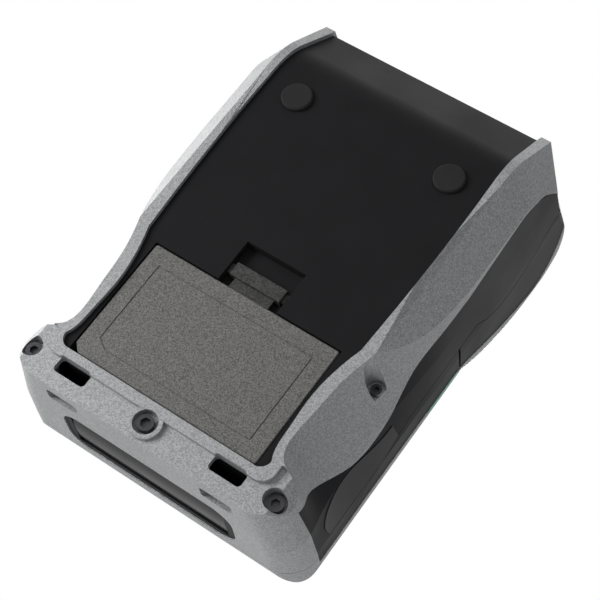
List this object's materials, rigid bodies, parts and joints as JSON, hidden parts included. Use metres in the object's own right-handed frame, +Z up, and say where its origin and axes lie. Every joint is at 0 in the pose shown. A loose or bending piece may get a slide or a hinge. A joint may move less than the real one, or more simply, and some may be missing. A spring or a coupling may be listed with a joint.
{
  "type": "portable label printer",
  "caption": "Portable thermal label printer with a hinged label cover, geared platen, sliding label guides, latched battery and waisted bumper frame",
  "frame": {"origin": "centre of the bounding box in plan, on the level of the rest face underneath", "axes": "+X to the right of a person who faces the front, +Y from the front to the rear along the longest side, +Z up"},
  "size_m": [0.1186, 0.182, 0.079],
  "materials": {
    "bumper_frame": "fine metallic silver paint on moulded plastic",
    "upper_case": "fine metallic silver paint on moulded plastic",
    "media_cover": "fine metallic silver paint on moulded plastic",
    "side_panel_right": "smooth satin",
    "side_panel_left": "smooth satin",
    "upper_side_right": "smooth satin",
    "upper_side_left": "smooth satin",
    "cover_side_right": "smooth satin",
    "cover_side_left": "smooth satin",
    "cover_panel": "smooth satin",
    "cover_window": "smoked clear plastic",
    "bottom_housing": "fine matte",
    "side_plate_right": "semi-gloss",
    "side_plate_left": "semi-gloss",
    "release_button": "satin teal",
    "cover_latch": "satin teal",
    "front_bezel": "fine matte",
    "port_door": "glossy",
    "port_board": "solder mask",
    "usb_socket": "plain",
    "charge_inlet": "matte",
    "serial_socket": "matte",
    "control_panel": "satin",
    "display_lens": "clear tinted",
    "display_module": "display glass",
    "light_pipes": "frosted",
    "power_key": "soft touch",
    "feed_key": "soft touch",
    "menu_key": "soft touch",
    "key_board": "solder mask",
    "battery_pack": "sparkling texture",
    "battery_contacts": "gold plated",
    "battery_latch": "grained",
    "rubber_feet": "matte",
    "case_screws": "black zinc",
    "hinge_pins": "ground",
    "platen_roller": "ground rubber",
    "platen_shaft": "ground",
    "platen_gear": "natural",
    "platen_bushes": "smooth",
    "tear_bar": "plain",
    "print_head": "plain with a dark print line",
    "head_springs": "plain",
    "mech_chassis": "zinc plated",
    "stepper_motor": "plain",
    "motor_pinion": "machined",
    "idler_gear": "natural",
    "label_sensor": "matte",
    "media_guide_left": "satin teal",
    "media_guide_right": "satin teal",
    "guide_pinion": "natural",
    "main_board": "solder mask"
  },
  "bodies": {
    "case": {"bumper_frame": "bumper_frame", "upper_case": "upper_case", "side_panel_right": "side_panel_right", "side_panel_left": "side_panel_left", "upper_side_right": "upper_side_right", "upper_side_left": "upper_side_left", "bottom_housing": "bottom_housing", "side_plate_right": "side_plate_right", "side_plate_left": "side_plate_left", "front_bezel": "front_bezel", "port_board": "port_board", "usb_socket": "usb_socket", "charge_inlet": "charge_inlet", "serial_socket": "serial_socket", "control_panel": "control_panel", "display_lens": "display_lens", "display_module": "display_module", "light_pipes": "light_pipes", "key_board": "key_board", "battery_contacts": "battery_contacts", "rubber_feet": "rubber_feet", "case_screws": "case_screws", "hinge_pins": "hinge_pins", "tear_bar": "tear_bar", "print_head": "print_head", "head_springs": "head_springs", "mech_chassis": "mech_chassis", "stepper_motor": "stepper_motor", "label_sensor": "label_sensor", "main_board": "main_board"},
    "battery": {"battery_pack": "battery_pack"},
    "battery_catch": {"battery_latch": "battery_latch"},
    "release": {"release_button": "release_button"},
    "cover_hook": {"cover_latch": "cover_latch"},
    "power": {"power_key": "power_key"},
    "feed": {"feed_key": "feed_key"},
    "menu": {"menu_key": "menu_key"},
    "door": {"port_door": "port_door"},
    "guide_left": {"media_guide_left": "media_guide_left"},
    "guide_right": {"media_guide_right": "media_guide_right"},
    "guide_gear": {"guide_pinion": "guide_pinion"},
    "idler": {"idler_gear": "idler_gear"},
    "motor_rotor": {"motor_pinion": "motor_pinion"},
    "cover": {"media_cover": "media_cover", "cover_panel": "cover_panel", "cover_window": "cover_window", "cover_side_right": "cover_side_right", "cover_side_left": "cover_side_left", "platen_bushes": "platen_bushes"},
    "platen": {"platen_roller": "platen_roller", "platen_shaft": "platen_shaft", "platen_gear": "platen_gear"}
  },
  "joints": [
    {"name": "cover_hinge", "type": "hinge", "parent": "case", "child": "cover", "pos_m": [0, 0.0876, 0.0486], "axis": [-1, 0, 0], "range_deg": [0, 80]},
    {"name": "platen_spin", "type": "hinge", "parent": "cover", "child": "platen", "pos_m": [0, 0.013, 0.05], "axis": [1, 0, 0], "continuous": true},
    {"name": "idler_spin", "type": "hinge", "parent": "case", "child": "idler", "pos_m": [0.0469, 0.013, 0.0324], "axis": [1, 0, 0], "continuous": true},
    {"name": "motor_spin", "type": "hinge", "parent": "case", "child": "motor_rotor", "pos_m": [0.0469, -0.0014, 0.0324], "axis": [1, 0, 0], "continuous": true},
    {"name": "battery_latch_slide", "type": "slide", "parent": "case", "child": "battery_catch", "axis": [0, 1, 0], "range_m": [0, 0.004], "stiffness_N_per_m": 400, "springref_m": -0.001},
    {"name": "battery_drop", "type": "slide", "parent": "case", "child": "battery", "axis": [0, 0, -1], "range_m": [0, 0.002]},
    {"name": "release_press", "type": "slide", "parent": "case", "child": "release", "axis": [1, 0, 0], "range_m": [0, 0.0025], "stiffness_N_per_m": 600, "springref_m": -0.001},
    {"name": "cover_hook_turn", "type": "hinge", "parent": "case", "child": "cover_hook", "pos_m": [-0.0496, 0, 0.038], "axis": [1, 0, 0], "range_deg": [0, 12.1]},
    {"name": "power_press", "type": "slide", "parent": "case", "child": "power", "axis": [0, 0, -1], "range_m": [0, 0.0008], "stiffness_N_per_m": 800, "springref_m": -0.0005},
    {"name": "feed_press", "type": "slide", "parent": "case", "child": "feed", "axis": [0, 0, -1], "range_m": [0, 0.0008], "stiffness_N_per_m": 800, "springref_m": -0.0005},
    {"name": "menu_press", "type": "slide", "parent": "case", "child": "menu", "axis": [0, 0, -1], "range_m": [0, 0.0008], "stiffness_N_per_m": 800, "springref_m": -0.0005},
    {"name": "port_door_hinge", "type": "hinge", "parent": "case", "child": "door", "pos_m": [0, -0.0896, 0.0252], "axis": [1, 0, 0], "range_deg": [0, 90]},
    {"name": "guide_left_slide", "type": "slide", "parent": "case", "child": "guide_left", "axis": [1, 0, 0], "range_m": [0, 0.02]},
    {"name": "guide_right_slide", "type": "slide", "parent": "case", "child": "guide_right", "axis": [-1, 0, 0], "range_m": [0, 0.02]},
    {"name": "guide_gear_turn", "type": "hinge", "parent": "case", "child": "guide_gear", "pos_m": [0, 0.046, 0.0072], "axis": [0, 0, 1], "range_deg": [0, 382.2]}
  ],
  "couplings": [
    {"joint": "idler_spin", "follows": "platen_spin", "ratio": -0.83333},
    {"joint": "motor_spin", "follows": "platen_spin", "ratio": 1.6667},
    {"joint": "battery_drop", "follows": "battery_latch_slide", "ratio": 0.5},
    {"joint": "cover_hook_turn", "follows": "release_press", "rad_per_m": 83.8},
    {"joint": "guide_right_slide", "follows": "guide_left_slide", "ratio": 1},
    {"joint": "guide_gear_turn", "follows": "guide_left_slide", "rad_per_m": 333.33}
  ]
}
